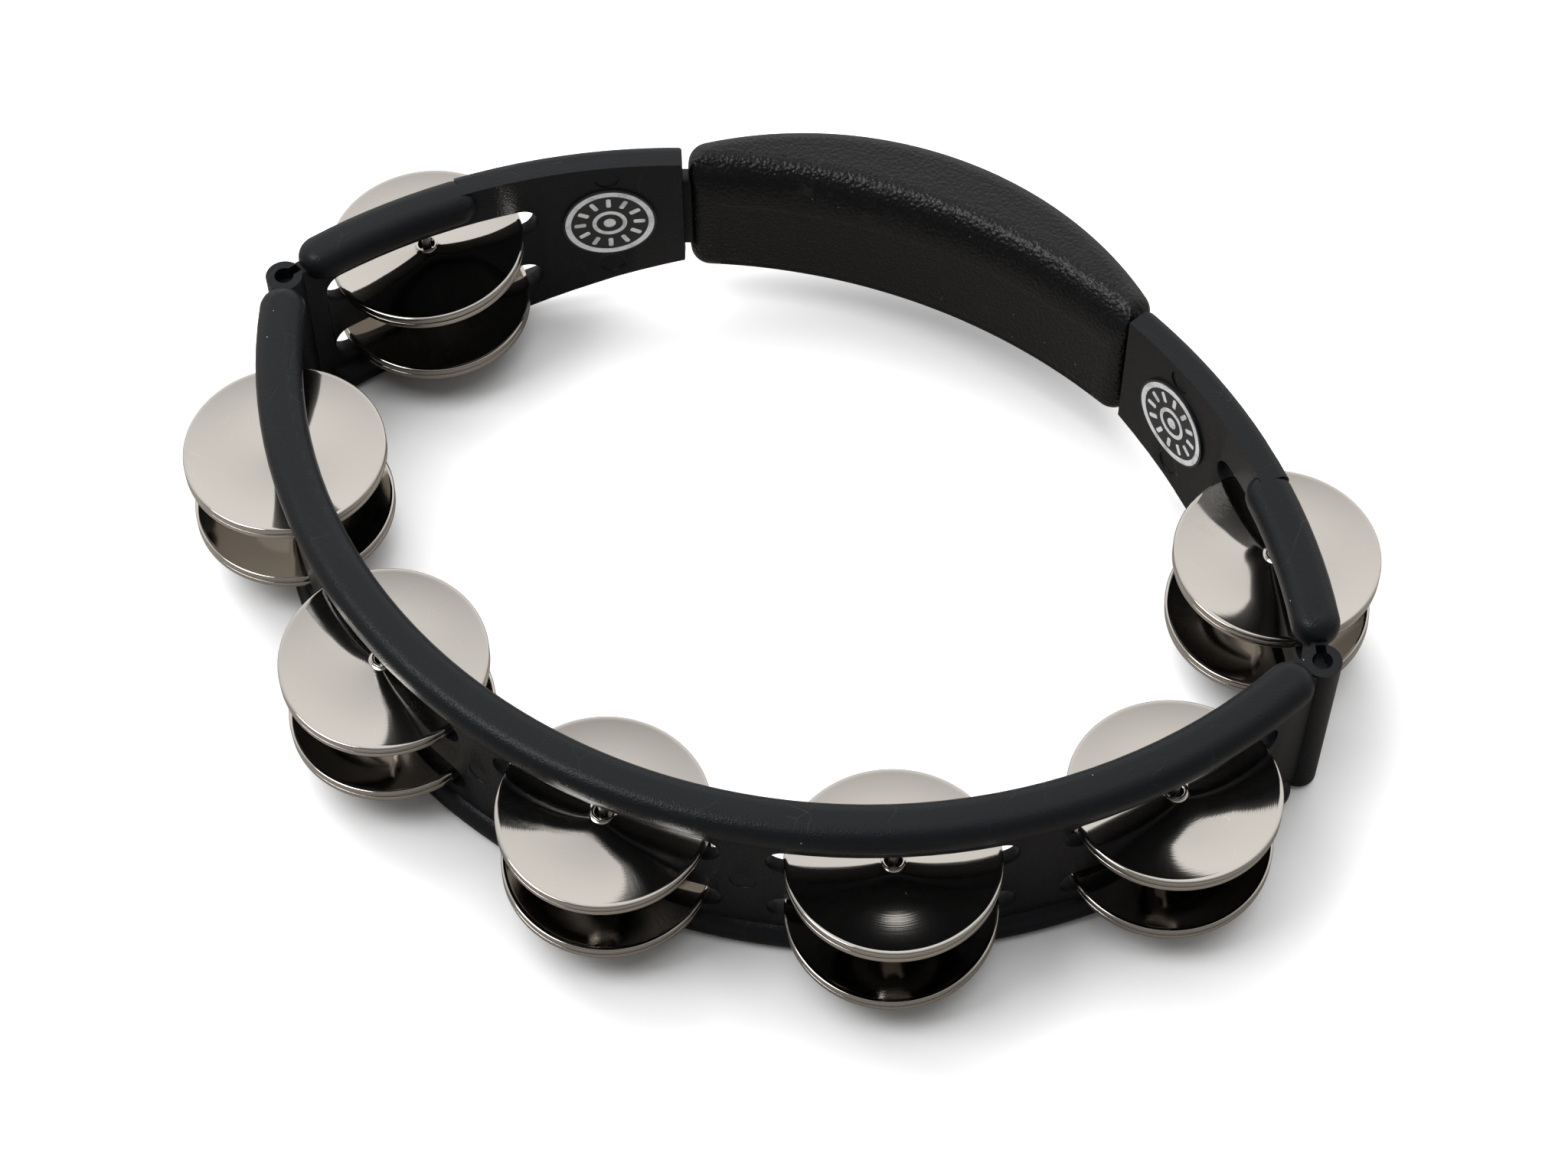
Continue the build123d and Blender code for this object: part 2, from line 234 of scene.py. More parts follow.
def new_group(name, inputs, outputs):
    """An empty shader node group with float inputs, as (name, value) pairs, and float outputs."""
    tree = bpy.data.node_groups.new(name, "ShaderNodeTree")
    for label, value in inputs:
        socket = tree.interface.new_socket(label, in_out="INPUT", socket_type="NodeSocketFloat")
        socket.default_value = value
    for label in outputs:
        tree.interface.new_socket(label, in_out="OUTPUT", socket_type="NodeSocketFloat")
    return tree, tree.nodes.new("NodeGroupInput"), tree.nodes.new("NodeGroupOutput")


def add_math(tree, operation, first, second=None, third=None):
    """A Math node. Each value is a number or an output socket. Returns the result socket."""
    node = tree.nodes.new("ShaderNodeMath")
    node.operation = operation
    for socket, value in zip(node.inputs, (first, second, third)):
        if isinstance(value, (int, float)):
            socket.default_value = value
        elif value is not None:
            link(tree, value, socket)
    return node.outputs[0]


# %% [markdown]
# A texture's scale and a mask's limits can be plain numbers or sockets. Plain numbers are set on
# the node. Sockets are linked, so that a material can change them where it uses the group.

# %% Textures and masks
def per_size(tree, size):
    """The texture scale that gives features of this size in mm. Size is a socket."""
    return add_math(tree, "DIVIDE", 1000.0, size)


def add_noise(tree, coordinates, scale, detail=2.0, roughness=0.5):
    """A Noise Texture. Scale is a number or a socket. Returns the value socket."""
    node = tree.nodes.new("ShaderNodeTexNoise")
    node.inputs["Detail"].default_value = detail
    node.inputs["Roughness"].default_value = roughness
    link(tree, coordinates, node.inputs["Vector"])
    if isinstance(scale, (int, float)):
        node.inputs["Scale"].default_value = scale
    else:
        link(tree, scale, node.inputs["Scale"])
    return node.outputs[0]


def add_steps(tree, value, low, high, to_low=0.0, to_high=1.0):
    """A smooth Map Range node. Limits are numbers or sockets. Returns the result socket."""
    node = tree.nodes.new("ShaderNodeMapRange")
    node.interpolation_type = "SMOOTHSTEP"
    link(tree, value, node.inputs["Value"])
    limits = {"From Min": low, "From Max": high, "To Min": to_low, "To Max": to_high}
    for label, limit in limits.items():
        if isinstance(limit, (int, float)):
            node.inputs[label].default_value = limit
        else:
            link(tree, limit, node.inputs[label])
    return node.outputs[0]


def object_place(tree):
    """The Object coordinates socket."""
    return tree.nodes.new("ShaderNodeTexCoord").outputs["Object"]


# %% Moulded grain
grain_inputs = [("Cell Size", 0.6), ("Roundness", 0.6)]
grain_group, grain_in, grain_out = new_group("moulded grain", grain_inputs, ["Height"])
grain_scale = per_size(grain_group, grain_in.outputs["Cell Size"])
grain_cells = grain_group.nodes.new("ShaderNodeTexVoronoi")
grain_cells.feature = "SMOOTH_F1"
grain_cells.inputs["Smoothness"].default_value = 0.6
grain_place = object_place(grain_group)
link(grain_group, grain_place, grain_cells.inputs["Vector"])
link(grain_group, grain_scale, grain_cells.inputs["Scale"])
bumps = add_math(grain_group, "SUBTRACT", 1.0, grain_cells.outputs["Distance"])
rounded = add_math(grain_group, "MULTIPLY", bumps, grain_in.outputs["Roundness"])
ripple = add_noise(grain_group, grain_place, grain_scale, detail=2.0)
link(grain_group, add_math(grain_group, "ADD", rounded, ripple), grain_out.inputs["Height"])
print("moulded grain:", len(grain_group.nodes), "nodes")

# %% Rubbed marks
rub_inputs = [("Patch Size", 12.0), ("Amount", 0.4)]
rub_group, rub_in, rub_out = new_group("rubbed marks", rub_inputs, ["Mask"])
rub_place = object_place(rub_group)
rub_scale = per_size(rub_group, rub_in.outputs["Patch Size"])
patches = add_noise(rub_group, rub_place, rub_scale, detail=5.0, roughness=0.6)
streaks = add_noise(rub_group, rub_place, scale=900.0, detail=3.0, roughness=0.7)
patch_part = add_math(rub_group, "MULTIPLY", patches, 0.8)
streak_part = add_math(rub_group, "MULTIPLY", streaks, 0.35)
rub_sum = add_math(rub_group, "ADD", patch_part, streak_part)
wider = add_math(rub_group, "MULTIPLY", rub_in.outputs["Amount"], 0.6)
rub_edge = add_math(rub_group, "SUBTRACT", 0.95, wider)
rub_high = add_math(rub_group, "ADD", rub_edge, 0.16)
link(rub_group, add_steps(rub_group, rub_sum, rub_edge, rub_high), rub_out.inputs["Mask"])
print("rubbed marks:", len(rub_group.nodes), "nodes")

# %% Dust specks
dust_inputs = [("Spacing", 5.0), ("Speck Size", 0.12)]
dust_group, dust_in, dust_out = new_group("dust specks", dust_inputs, ["Mask"])
dust_spacing = dust_in.outputs["Spacing"]
dust_cells = dust_group.nodes.new("ShaderNodeTexVoronoi")
link(dust_group, object_place(dust_group), dust_cells.inputs["Vector"])
link(dust_group, per_size(dust_group, dust_spacing), dust_cells.inputs["Scale"])
speck_edge = add_math(dust_group, "DIVIDE", dust_in.outputs["Speck Size"], dust_spacing)
speck_core = add_math(dust_group, "MULTIPLY", speck_edge, 0.6)
from_speck = dust_cells.outputs["Distance"]
specks = add_steps(dust_group, from_speck, speck_core, speck_edge, 1.0, 0.0)
link(dust_group, specks, dust_out.inputs["Mask"])
print("dust specks:", len(dust_group.nodes), "nodes")

# %% [markdown]
# A scratch is a long thin line that wanders and fades. The borders between Voronoi cells are
# thin lines already. Noise bends them, and more noise breaks them into short stretches.

# %% Fine scratches
WANDER = 12 * MM
scratch_inputs = [("Spacing", 9.0), ("Width", 0.05)]
scratch_group, scratch_in, scratch_out = new_group("fine scratches", scratch_inputs, ["Mask"])
scratch_place = object_place(scratch_group)
scratch_spacing = scratch_in.outputs["Spacing"]
bent = scratch_group.nodes.new("ShaderNodeVectorMath")
bent.operation = "MULTIPLY_ADD"
wander = scratch_group.nodes.new("ShaderNodeTexNoise")
wander.inputs["Scale"].default_value = 45.0
link(scratch_group, scratch_place, wander.inputs["Vector"])
link(scratch_group, wander.outputs["Color"], bent.inputs[0])
bent.inputs[1].default_value = (WANDER, WANDER, WANDER)
link(scratch_group, scratch_place, bent.inputs[2])
scratch_cells = scratch_group.nodes.new("ShaderNodeTexVoronoi")
scratch_cells.feature = "DISTANCE_TO_EDGE"
link(scratch_group, bent.outputs[0], scratch_cells.inputs["Vector"])
link(scratch_group, per_size(scratch_group, scratch_spacing), scratch_cells.inputs["Scale"])
scratch_edge = add_math(scratch_group, "DIVIDE", scratch_in.outputs["Width"], scratch_spacing)
from_line = scratch_cells.outputs["Distance"]
thin_lines = add_steps(scratch_group, from_line, 0.0, scratch_edge, 1.0, 0.0)
stretches = add_noise(scratch_group, scratch_place, scale=70.0, detail=2.0)
broken = add_steps(scratch_group, stretches, 0.52, 0.62)
scratch_mask = add_math(scratch_group, "MULTIPLY", thin_lines, broken)
link(scratch_group, scratch_mask, scratch_out.inputs["Mask"])
print("fine scratches:", len(scratch_group.nodes), "nodes")


# %% [markdown]
# ## Materials
# A material is the Principled shader with these groups feeding its sockets. Masks mix two
# colours or two roughness values, and heights go through a Bump node. Each group goes in with
# the material's own sizes.

# %% Material helpers
def place_group(tree, group, **values):
    """Put a node group into a material, with its own values. Returns the node."""
    node = tree.nodes.new("ShaderNodeGroup")
    node.node_tree = group
    for label, value in values.items():
        node.inputs[label.replace("_", " ")].default_value = value
    return node


def mix_colours(tree, mask, first, second):
    """A colour mix by a mask. Each colour is a tuple or a socket. Returns the colour socket."""
    node = tree.nodes.new("ShaderNodeMix")
    node.data_type = "RGBA"
    link(tree, mask, node.inputs[0])
    for socket, value in ((node.inputs[6], first), (node.inputs[7], second)):
        if isinstance(value, tuple):
            socket.default_value = (*value, 1)
        else:
            link(tree, value, socket)
    return node.outputs[2]


def bump(tree, height, depth, normal=None):
    """A Bump node for a height socket, with its depth in mm. Returns the normal socket."""
    node = tree.nodes.new("ShaderNodeBump")
    node.inputs["Distance"].default_value = depth * MM
    link(tree, height, node.inputs["Height"])
    if normal is not None:
        link(tree, normal, node.inputs["Normal"])
    return node.outputs[0]


# %% [markdown]
# ## Black moulded plastic
# The bows are hard black plastic with a fine spark-eroded grain, a little paler where hands
# have rubbed it, with a few scratches and specks of dust. A flat black would look like a hole,
# so the colour and the roughness both change with the rubbed marks. A low IOR keeps the sheen
# weak.

# %% Black moulded plastic
plastic, plastic_shader = principled("black moulded plastic")
tree = plastic.node_tree
grain = place_group(tree, grain_group, Cell_Size=0.42, Roundness=0.5)
rubs = place_group(tree, rub_group, Patch_Size=16.0, Amount=0.35)
dust = place_group(tree, dust_group, Spacing=6.5, Speck_Size=0.16)
scratches = place_group(tree, scratch_group, Spacing=13.0, Width=0.05)
rubbed = mix_colours(tree, rubs.outputs[0], (0.0054, 0.0062, 0.0076), (0.0085, 0.0095, 0.0112))
scratched = mix_colours(tree, scratches.outputs[0], rubbed, (0.03, 0.031, 0.033))
dusty = mix_colours(tree, dust.outputs[0], scratched, (0.42, 0.42, 0.42))
sheen = add_steps(tree, rubs.outputs[0], 0.0, 1.0, 0.3, 0.46)
link(tree, dusty, plastic_shader.inputs["Base Color"])
link(tree, sheen, plastic_shader.inputs["Roughness"])
link(tree, bump(tree, grain.outputs[0], 0.1), plastic_shader.inputs["Normal"])
plastic_shader.inputs["IOR"].default_value = 1.27
print(plastic.name, "nodes:", len(tree.nodes))

# %% [markdown]
# ## Pebbled rubber
# The grip is a little shinier than the bows, and covered in pebbles about a millimetre wide.
# Pebbles this small are cheaper as a Bump than as geometry. Two layers of the same grain group
# give big pebbles with a finer texture on them.

# %% Pebbled rubber
rubber, rubber_shader = principled("pebbled rubber")
tree = rubber.node_tree
pebbles = place_group(tree, grain_group, Cell_Size=0.95, Roundness=1.6)
fine = place_group(tree, grain_group, Cell_Size=0.35, Roundness=0.6)
rubs = place_group(tree, rub_group, Patch_Size=9.0, Amount=0.5)
dust = place_group(tree, dust_group, Spacing=4.5, Speck_Size=0.14)
rubbed = mix_colours(tree, rubs.outputs[0], (0.0022, 0.0025, 0.003), (0.008, 0.0086, 0.0095))
dusty = mix_colours(tree, dust.outputs[0], rubbed, (0.35, 0.35, 0.35))
sheen = add_steps(tree, rubs.outputs[0], 0.0, 1.0, 0.3, 0.48)
pebble_normal = bump(tree, pebbles.outputs[0], 0.13)
link(tree, dusty, rubber_shader.inputs["Base Color"])
link(tree, sheen, rubber_shader.inputs["Roughness"])
link(tree, bump(tree, fine.outputs[0], 0.04, pebble_normal), rubber_shader.inputs["Normal"])
rubber_shader.inputs["IOR"].default_value = 1.36
print(rubber.name, "nodes:", len(tree.nodes))

# %% [markdown]
# ## Nickel plate
# Nickel is a slightly warm mirror. What makes it real is what disturbs the mirror: smudges,
# hair-thin scratches, dust, and faint rings left by turning and polishing. The rings follow the
# distance from a jingle's own centre, which each jingle's mesh carries as an attribute, because
# the jingles all lie in different places and at different tilts.

# %% Nickel plate
nickel, nickel_shader = principled("nickel plate")
tree = nickel.node_tree
nickel_shader.inputs["Metallic"].default_value = 1.0
smudges = place_group(tree, rub_group, Patch_Size=18.0, Amount=0.45)
scratches = place_group(tree, scratch_group, Spacing=7.0, Width=0.03)
dust = place_group(tree, dust_group, Spacing=4.2, Speck_Size=0.11)
distance = tree.nodes.new("ShaderNodeAttribute")
distance.attribute_name = "from_centre"
rings = tree.nodes.new("ShaderNodeTexNoise")
rings.noise_dimensions = "1D"
rings.inputs["Scale"].default_value = 3.0
rings.inputs["Detail"].default_value = 4.0
link(tree, distance.outputs["Fac"], rings.inputs["W"])
smudged = mix_colours(tree, smudges.outputs[0], (0.57, 0.54, 0.505), (0.54, 0.505, 0.47))
scratched = mix_colours(tree, scratches.outputs[0], smudged, (0.68, 0.65, 0.62))
dusty = mix_colours(tree, dust.outputs[0], scratched, (0.25, 0.24, 0.23))
ring_haze = add_math(tree, "MULTIPLY", rings.outputs[0], 0.05)
smudge_haze = add_steps(tree, smudges.outputs[0], 0.0, 1.0, 0.03, 0.07)
link(tree, dusty, nickel_shader.inputs["Base Color"])
link(tree, add_math(tree, "ADD", ring_haze, smudge_haze), nickel_shader.inputs["Roughness"])
link(tree, bump(tree, rings.outputs[0], 0.003), nickel_shader.inputs["Normal"])
print(nickel.name, "nodes:", len(tree.nodes))

# %% [markdown]
# ## Pin steel
# The pins are drawn wire, with fine lines along their length. A noise that is stretched along Z
# gives such lines, and drives both the roughness and a very small bump.

# %% Pin steel
steel, steel_shader = principled("pin steel")
tree = steel.node_tree
steel_shader.inputs["Metallic"].default_value = 1.0
drawn = tree.nodes.new("ShaderNodeMapping")
drawn.inputs["Scale"].default_value = (1.0, 1.0, 0.05)
link(tree, object_place(tree), drawn.inputs["Vector"])
lines = add_noise(tree, drawn.outputs[0], scale=5000.0, detail=2.0)
smudges = place_group(tree, rub_group, Patch_Size=5.0, Amount=0.5)
smudged = mix_colours(tree, smudges.outputs[0], (0.52, 0.51, 0.50), (0.34, 0.33, 0.31))
link(tree, smudged, steel_shader.inputs["Base Color"])
link(tree, add_steps(tree, lines, 0.3, 0.7, 0.2, 0.4), steel_shader.inputs["Roughness"])
link(tree, bump(tree, lines, 0.01), steel_shader.inputs["Normal"])
print(steel.name, "nodes:", len(tree.nodes))


# %% [markdown]
# ## The two bows
# The bows are injection moulded, and no edge of a moulding is quite sharp. Each bow is a copy
# of its CAD node with its doubles merged. Flat faces are dissolved into one face each, so that
# a bevel along the slots and the walls has clean edges to follow. The bevel catches a thin
# line of light, as the real edges do.

# %% Moulded bows
EDGE_ROUND = 0.35
FLAT_ANGLE = radians(0.4)
SHARP_ANGLE = radians(50)
SMOOTH_ANGLE = radians(32)
RAIL_CLEAR = 9.6 * MM
BOW_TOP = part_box("front_bow")[1].z


def clear_of_rails(point):
    """True between the rails, away from the narrow strips next to them."""
    return RAIL_CLEAR < point.z < BOW_TOP - RAIL_CLEAR


def mould(node, name):
    """A welded copy of a bow with its free edges rounded, which stands for its CAD node."""
    piece = welded_copy(node, name)
    bpy.ops.mesh.customdata_custom_splitnormals_clear()
    bpy.ops.object.mode_set(mode="EDIT")
    bpy.ops.mesh.select_mode(type="EDGE")
    bpy.ops.mesh.select_all(action="SELECT")
    bpy.ops.mesh.dissolve_limited(angle_limit=FLAT_ANGLE)
    bpy.ops.mesh.select_all(action="DESELECT")
    shape = bmesh.from_edit_mesh(piece.data)
    for edge in shape.edges:
        sharp = edge.is_manifold and edge.is_convex and edge.calc_face_angle() > SHARP_ANGLE
        edge.select_set(sharp and all(clear_of_rails(corner.co) for corner in edge.verts))
    chosen = sum(edge.select for edge in shape.edges)
    bmesh.update_edit_mesh(piece.data)
    bpy.ops.mesh.bevel(offset=EDGE_ROUND * MM, segments=2, affect="EDGES", clamp_overlap=False)
    bpy.ops.object.mode_set(mode="OBJECT")
    bpy.ops.object.shade_smooth_by_angle(angle=SMOOTH_ANGLE)
    piece.data.materials.append(plastic)
    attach(piece, "frame")
    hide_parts(node)
    print(name, "edges rounded:", chosen, "triangles:", triangles(piece))


mould("front_bow", "front_bow_moulding")
mould("back_bow", "back_bow_moulding")


# %% [markdown]
# ## Jingles
# A jingle is pressed from thin nickel-plated sheet: a raised collar round the hole, a shallow
# round valley, a flat flange, and a skirt turned down at the rim. It could be a revolved curve
# or a disc shaped ring by ring. Ring by ring is how it would be done by hand: one circle of
# edges is extruded along the whole closed section, scaled at each step, and welded where the
# end meets the beginning. The 28 copies read their places from their CAD nodes.

# %% Turning a section
def lathe(name, section, segments):
    """Carry a circle of edges along a section of (radius, level) points in mm, round the Z axis."""
    bpy.ops.object.select_all(action="DESELECT")
    radius, level = section[0]
    start = (0, 0, level * MM)
    bpy.ops.mesh.primitive_circle_add(vertices=segments, radius=radius * MM, location=start)
    piece = bpy.context.object
    piece.name = name
    bpy.ops.object.transform_apply(location=True)
    bpy.ops.object.mode_set(mode="EDIT")
    bpy.ops.mesh.select_mode(type="EDGE")
    bpy.ops.mesh.select_all(action="SELECT")
    for (radius, level), (next_radius, next_level) in zip(section, section[1:]):
        step = (0, 0, (next_level - level) * MM)
        grow = next_radius / radius
        bpy.ops.mesh.extrude_edges_move(TRANSFORM_OT_translate={"value": step})
        bpy.ops.transform.resize(value=(grow, grow, 1), center_override=(0, 0, next_level * MM))
    bpy.ops.mesh.select_all(action="SELECT")
    bpy.ops.mesh.remove_doubles(threshold=0.002 * MM)
    bpy.ops.mesh.normals_make_consistent(inside=False)
    bpy.ops.object.mode_set(mode="OBJECT")
    return piece


# %% [markdown]
# The section is a list of (radius, level) points in mm. Level 0 is the top of the flat flange,
# so that a jingle's tilt and its place can be given by its flange. The valley's slope is written
# as two curves, because a pressed sheet has no corner in it.

# %% The section of a jingle
SHEET = 0.45
RIM = 25.5
SKIRT = 1.75
COLLAR = (2.9, -0.35)
VALLEY = (14.5, -1.3)
FLANGE = 24.9
JINGLE_SEGMENTS = 112


def falling(steps):
    """Points from the collar's foot down to the valley, steep at first and level at the end."""
    points = []
    for step in range(1, steps + 1):
        t = step / steps
        drop = 1 - (1 - t) ** 2
        radius = COLLAR[0] + (VALLEY[0] - COLLAR[0]) * t
        level = COLLAR[1] + (VALLEY[1] - COLLAR[1]) * drop
        points.append((radius, level))
    return points


def rising(steps):
    """Points from the valley up to the flange, steeper and steeper."""
    points = []
    for step in range(1, steps + 1):
        t = step / steps
        radius = VALLEY[0] + (FLANGE - VALLEY[0]) * t
        points.append((radius, VALLEY[1] * (1 - t * t)))
    return points


dish = [(2.95, COLLAR[1] - 0.02)] + falling(14) + rising(18)
upper_side = [(2.89, -0.12), (2.9, -0.3)] + dish
upper_side += [(25.06, -0.01), (25.24, -0.06), (25.37, -0.16), (25.47, -0.31), (RIM, -0.5)]
lower_side = [(radius, level - SHEET) for radius, level in dish[:-1]]
lower_side += [(24.84, -0.47), (24.99, -0.56), (25.05, -0.72)]
collar_top = [(2.2, -0.8), (2.2, -0.1), (2.26, -0.03), (2.36, 0.0), (2.74, 0.0), (2.85, -0.04)]
skirt_end = [(RIM, -1.64), (25.46, -1.72), (25.38, -SKIRT)]
skirt_end += [(25.17, -SKIRT), (25.08, -1.72), (25.05, -1.64)]
section = collar_top + upper_side + skirt_end + lower_side[::-1] + [collar_top[0]]

print("points in the section:", len(section) - 1)

# %% [markdown]
# One jingle is turned from the section. Each of its vertices also keeps its distance from the
# centre, in mm, because the nickel's faint rings need it after the copies are tilted.

# %% One jingle
jingle = lathe("jingle", section, JINGLE_SEGMENTS)
bpy.ops.object.shade_smooth_by_angle(angle=radians(50))
from_centre = jingle.data.attributes.new("from_centre", "FLOAT", "POINT")
for corner, value in zip(jingle.data.vertices, from_centre.data):
    value.value = hypot(corner.co.x, corner.co.y) / MM
jingle.data.materials.append(nickel)
size = [round(c / MM, 2) for c in jingle.dimensions]
print("one jingle:", triangles(jingle), "triangles,", size, "mm")


# %% [markdown]
# A CAD node holds its jingle where it lies, but not as a turn and a shift, so both are measured
# from the triangles, each counted by its area. A disc spreads least along its own axis, which
# is the eigenvector with the smallest eigenvalue.

# %% Where each jingle lies
def disc_place(node):
    """Matrix that takes a jingle lying at the origin to its CAD node's place and tilt."""
    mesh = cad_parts[node].data
    mesh.calc_loop_triangles()
    points = numpy.empty(len(mesh.vertices) * 3)
    mesh.vertices.foreach_get("co", points)
    index = numpy.empty(len(mesh.loop_triangles) * 3, dtype=int)
    mesh.loop_triangles.foreach_get("vertices", index)
    corners = points.reshape(-1, 3)[index].reshape(-1, 3, 3)
    one_side = corners[:, 1] - corners[:, 0]
    other_side = corners[:, 2] - corners[:, 0]
    areas = numpy.linalg.norm(numpy.cross(one_side, other_side), axis=1)
    middles = corners.mean(axis=1)
    centre = (areas[:, None] * middles).sum(axis=0) / areas.sum()
    offsets = middles - centre
    axis = numpy.linalg.eigh((areas[:, None] * offsets).T @ offsets)[1][:, 0]
    if (axis[2] > 0) != node.endswith("top"):
        axis = -axis
    flange = (corners.reshape(-1, 3) @ axis).max()
    centre = centre + axis * (flange - centre @ axis)
    turn = Vector((0, 0, 1)).rotation_difference(Vector(axis))
    return Matrix.Translation(centre) @ turn.to_matrix().to_4x4()


# %% [markdown]
# Perfect copies would all mirror the tent alike, and playing bends real ones a little. A bend
# of a few hundredths of a millimetre cannot be seen in the outline, but it moves a reflection a
# long way.

# %% 28 jingles
SADDLE = 0.05
RIPPLE = 0.025


def warp(mesh, number):
    """Bend a jingle by a few hundredths of a millimetre, as use does, so that no two mirror alike."""
    for corner in mesh.vertices:
        reach = (corner.co.xy.length / (RIM * MM)) ** 2
        heading = Vector((1, 0)).angle_signed(corner.co.xy)
        saddle = SADDLE * cos(2 * heading + 1.7 * number)
        ripple = RIPPLE * cos(3 * heading + 2.9 * number)
        corner.co.z += (saddle + ripple) * reach * MM


jingle_nodes = sorted(
    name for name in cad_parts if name.startswith("jingle_") and "pin" not in name
)
for number, node in enumerate(jingle_nodes):
    piece = jingle.copy()
    piece.data = jingle.data.copy()
    piece.name = node + "_plate"
    bpy.context.scene.collection.objects.link(piece)
    warp(piece.data, number)
    piece.data.transform(disc_place(node))
    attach(piece, node.replace("jingle", "body"))
    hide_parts(node)
bpy.data.objects.remove(jingle)
print("jingles placed:", len(jingle_nodes))

# %% [markdown]
# ## Pins
# The pins are plain drawn steel. Their CAD shapes are right, so they stay, with a steel finish
# whose fine lines run along the pin.

# %% Pin finish
pin_nodes = [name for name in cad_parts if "pin" in name]
for node in pin_nodes:
    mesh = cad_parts[node].data
    mesh.materials.clear()
    mesh.materials.append(steel)
print("pins:", len(pin_nodes))

# %% [markdown]
# ## The rubber grip
# The grip is a thick sleeve of pebbled rubber, moulded round the bar at the back. A voxel
# remesh gives an even grid of small faces. Above the crease the inner face curves back to the
# top, as a quarter of an ellipse does. Below it a flat panel is pressed into the face, with a
# soft border.

# %% Grip sizes
BACK_CENTRE = Vector((0, -59.2 * MM))  # centre of the arc that the back bow follows
GRIP_INNER = 153.3 * MM
GRIP_BOTTOM, GRIP_TOP = (corner.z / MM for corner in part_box("grip_cover"))
CREASE = GRIP_TOP - 13.0
SHOULDER_DEPTH = 7.5
VOXEL = 0.6
PANEL_REACH = 55.0                     # half of the panel's length, along the face
PANEL_FOOT = GRIP_BOTTOM + 3.0
PANEL_DEPTH = 0.6
BLEND = 1.0


def soft_step(value, low, high):
    """0 below low, 1 above high, and an S-shaped curve between them."""
    t = min(1.0, max(0.0, (value - low) / (high - low)))
    return t * t * (3 - 2 * t)


print("grip from", round(GRIP_BOTTOM, 1), "to", round(GRIP_TOP, 1), "mm, crease at", round(CREASE, 1))

# %% [markdown]
# Each vertex is placed by three measures: how far along the face it is, how deep behind the
# face, and how high. The shoulder moves vertices at once. The panel is only marked, by weights
# in a vertex group, and a Displace modifier then presses it in.

# %% Shaping the grip
grip = welded_copy("grip_cover", "grip_sleeve")
bpy.ops.mesh.customdata_custom_splitnormals_clear()
apply_modifier(grip, "REMESH", mode="VOXEL", voxel_size=VOXEL * MM)
apply_modifier(grip, "SMOOTH", factor=0.5, iterations=4)
panel = grip.vertex_groups.new(name="panel")
for corner in grip.data.vertices:
    out = corner.co.xy - BACK_CENTRE
    along = abs(Vector((0, 1)).angle_signed(out)) * GRIP_INNER / MM
    depth = (out.length - GRIP_INNER) / MM
    level = corner.co.z / MM
    lift = min(1.0, max(0.0, (level - CREASE) / (GRIP_TOP - CREASE)))
    shoulder = SHOULDER_DEPTH * (1 - (1 - lift**2) ** 0.5)
    if depth < shoulder:
        corner.co.xy = BACK_CENTRE + out.normalized() * (GRIP_INNER + shoulder * MM)
    on_face = 1 - soft_step(depth, 0.4, 1.2)
    between_ends = soft_step(PANEL_REACH - along, 0, BLEND)
    above_foot = soft_step(level, PANEL_FOOT, PANEL_FOOT + BLEND)
    below_crease = soft_step(CREASE - level, 0, BLEND)
    within = between_ends * above_foot * below_crease
    panel.add([corner.index], on_face * within, "REPLACE")
apply_modifier(grip, "DISPLACE", strength=-PANEL_DEPTH * MM, mid_level=0, vertex_group="panel")
bpy.ops.object.shade_smooth()
grip.data.materials.append(rubber)
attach(grip, "frame")
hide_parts("grip_cover")
print("grip triangles:", triangles(grip))

# %% [markdown]
# ## Badges
# A badge sits on the inside of each side wall: a dark plate with a pale printed border
# and, in the middle, a simple sign of a jingle with rays round it. The print is a thin raised
# layer. It is laid out flat and then wrapped on the wall, as a transfer is.

# %% Badge materials
plate_black, plate_shader = principled("badge black")
tree = plate_black.node_tree
rubs = place_group(tree, rub_group, Patch_Size=7.0, Amount=0.5)
dust = place_group(tree, dust_group, Spacing=4.0, Speck_Size=0.12)
rubbed = mix_colours(tree, rubs.outputs[0], (0.012, 0.0122, 0.013), (0.03, 0.03, 0.031))
dusty = mix_colours(tree, dust.outputs[0], rubbed, (0.3, 0.3, 0.3))
link(tree, dusty, plate_shader.inputs["Base Color"])
link(tree, add_steps(tree, rubs.outputs[0], 0.0, 1.0, 0.3, 0.5), plate_shader.inputs["Roughness"])

ink, ink_shader = principled("pale print")
tree = ink.node_tree
rubs = place_group(tree, rub_group, Patch_Size=5.0, Amount=0.65)
mottle = add_noise(tree, object_place(tree), scale=1500.0, detail=3.0)
worn_ink = mix_colours(tree, rubs.outputs[0], (0.62, 0.63, 0.64), (0.42, 0.425, 0.43))
grey_spots = add_steps(tree, mottle, 0.45, 0.75, 0.0, 0.35)
mottled_ink = mix_colours(tree, grey_spots, worn_ink, (0.45, 0.455, 0.46))
link(tree, mottled_ink, ink_shader.inputs["Base Color"])
link(tree, add_steps(tree, mottle, 0.3, 0.7, 0.35, 0.55), ink_shader.inputs["Roughness"])
print("badge materials:", plate_black.name, "and", ink.name)


# %% Flat shapes of the print
PRINT = 0.12                           # thickness of the print


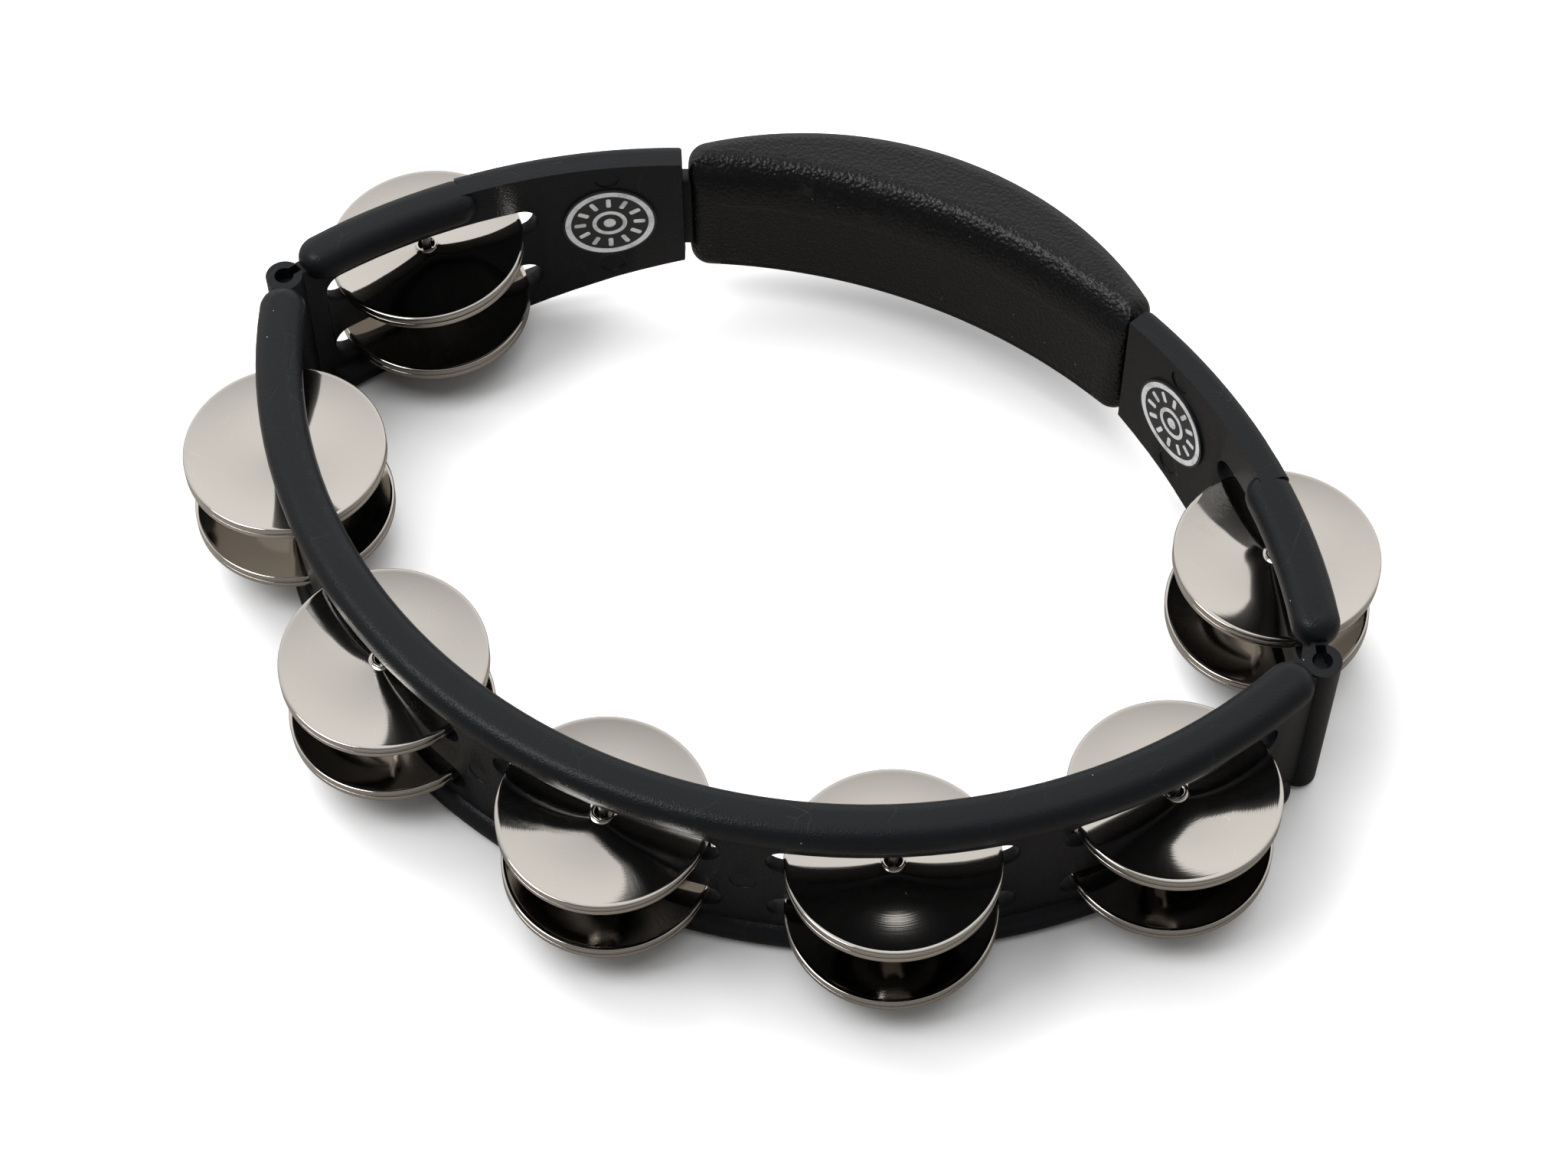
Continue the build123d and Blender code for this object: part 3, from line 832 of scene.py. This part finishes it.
def flat_ring(half_width, half_height, band):
    """A thin oval ring lying on the XY plane, in mm. With no band it is a full disc."""
    bpy.ops.object.select_all(action="DESELECT")
    bpy.ops.mesh.primitive_circle_add(vertices=96, radius=1, fill_type="NGON")
    ring = bpy.context.object
    ring.scale = (half_width, half_height, 1)
    bpy.ops.object.transform_apply(scale=True)
    bpy.ops.object.mode_set(mode="EDIT")
    bpy.ops.mesh.select_all(action="SELECT")
    if band:
        bpy.ops.mesh.inset(thickness=band)
        bpy.ops.mesh.delete(type="FACE")
    else:
        bpy.ops.mesh.inset(thickness=half_width * 0.5)
    bpy.ops.mesh.select_all(action="SELECT")
    bpy.ops.mesh.extrude_region_move(TRANSFORM_OT_translate={"value": (0, 0, PRINT)})
    bpy.ops.mesh.select_all(action="SELECT")
    bpy.ops.mesh.normals_make_consistent(inside=False)
    bpy.ops.object.mode_set(mode="OBJECT")
    return ring


def ray(heading, near, far, width):
    """A thin bar that points away from the middle, with its corners rounded, in mm."""
    bpy.ops.object.select_all(action="DESELECT")
    bpy.ops.mesh.primitive_cube_add(size=1, location=((near + far) / 2, 0, PRINT / 2))
    bar = bpy.context.object
    bar.scale = (far - near, width, PRINT)
    bpy.ops.object.transform_apply(location=True, scale=True)
    bpy.ops.object.mode_set(mode="EDIT")
    bpy.ops.mesh.select_mode(type="EDGE")
    bpy.ops.mesh.select_all(action="DESELECT")
    shape = bmesh.from_edit_mesh(bar.data)
    for edge in shape.edges:
        a, b = (corner.co for corner in edge.verts)
        edge.select_set(abs(a.z - b.z) > PRINT / 2)
    bmesh.update_edit_mesh(bar.data)
    bpy.ops.mesh.bevel(offset=width * 0.35, segments=3, affect="EDGES")
    bpy.ops.object.mode_set(mode="OBJECT")
    bar.data.transform(Matrix.Rotation(heading, 4, "Z"))
    return bar


def printed_sign(name):
    """The flat print: border, ring, dot and rays, joined into one piece."""
    border = flat_ring(half_width=11.8, half_height=12.0, band=1.5)
    ring = flat_ring(half_width=4.6, half_height=4.6, band=1.1)
    dot = flat_ring(half_width=1.6, half_height=1.6, band=0)
    rays = [ray(number * pi / 6, near=6.3, far=9.4, width=1.25) for number in range(12)]
    only(border)
    for part in (ring, dot, *rays):
        part.select_set(True)
    bpy.ops.object.join()
    border.name = name
    return border


# %% [markdown]
# The print is drawn flat, in the middle of the scene. Then each vertex goes to the wall: its X
# becomes a turn round the wall's centre, its Y a level, and its Z a depth. A Curve modifier
# could bend it too, but one formula is short and exact. The faces are divided once before that,
# so that they can follow the wall.

# %% Two badges
PLATE_INNER = 152.9                    # radius of the plate's inner face


def wrapped(mesh, heading, level):
    """Take a flat layout in mm to the inside of the wall: X goes round it, Y up, Z inwards."""
    for corner in mesh.vertices:
        x, y, z = corner.co
        turn = heading - x / PLATE_INNER
        radius = (PLATE_INNER - z) * MM
        corner.co = (radius * cos(turn), BACK_CENTRE.y + radius * sin(turn), (level + y) * MM)


for name in ("badge_left", "badge_right"):
    low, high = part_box(name)
    middle = (low + high) / 2
    toward = middle.xy - BACK_CENTRE
    sign = printed_sign(name + "_print")
    only(sign)
    bpy.ops.object.mode_set(mode="EDIT")
    bpy.ops.mesh.select_all(action="SELECT")
    bpy.ops.mesh.subdivide(number_cuts=1)
    bpy.ops.object.mode_set(mode="OBJECT")
    wrapped(sign.data, -Vector((1, 0)).angle_signed(toward), middle.z / MM)
    sign.data.materials.append(ink)
    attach(sign, "frame")
    plate_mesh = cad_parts[name].data
    plate_mesh.materials.clear()
    plate_mesh.materials.append(plate_black)
    print(name, "print triangles:", triangles(sign))
